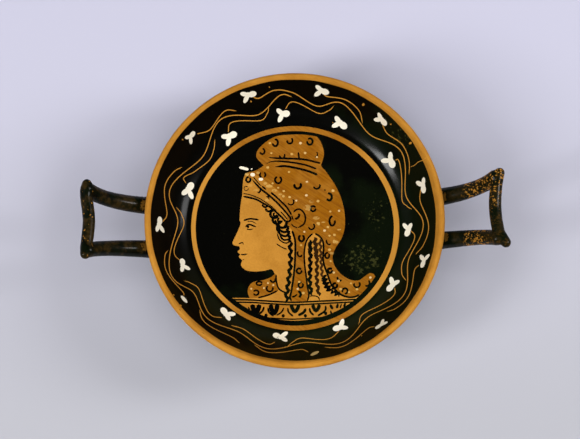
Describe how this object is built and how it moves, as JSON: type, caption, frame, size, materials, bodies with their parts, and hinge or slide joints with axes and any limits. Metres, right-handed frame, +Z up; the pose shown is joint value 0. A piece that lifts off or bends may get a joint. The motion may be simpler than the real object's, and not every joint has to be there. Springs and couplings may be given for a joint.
{
  "type": "greek kylix cup",
  "caption": "Shallow painted drinking cup on a low stem and disc foot, with two upswung side handles whose corners end in spurs.",
  "frame": {"origin": "middle of the foot's resting ring, below the middle of the bowl", "axes": "+Z up, +X along the line through the two handles, +Y across it"},
  "size_m": [0.2117, 0.15, 0.0751],
  "materials": {
    "fired_clay": "orange clay under a black gloss slip, with reserved figures and added white"
  },
  "bodies": {
    "root": {"kylix": "fired_clay"}
  },
  "joints": []
}
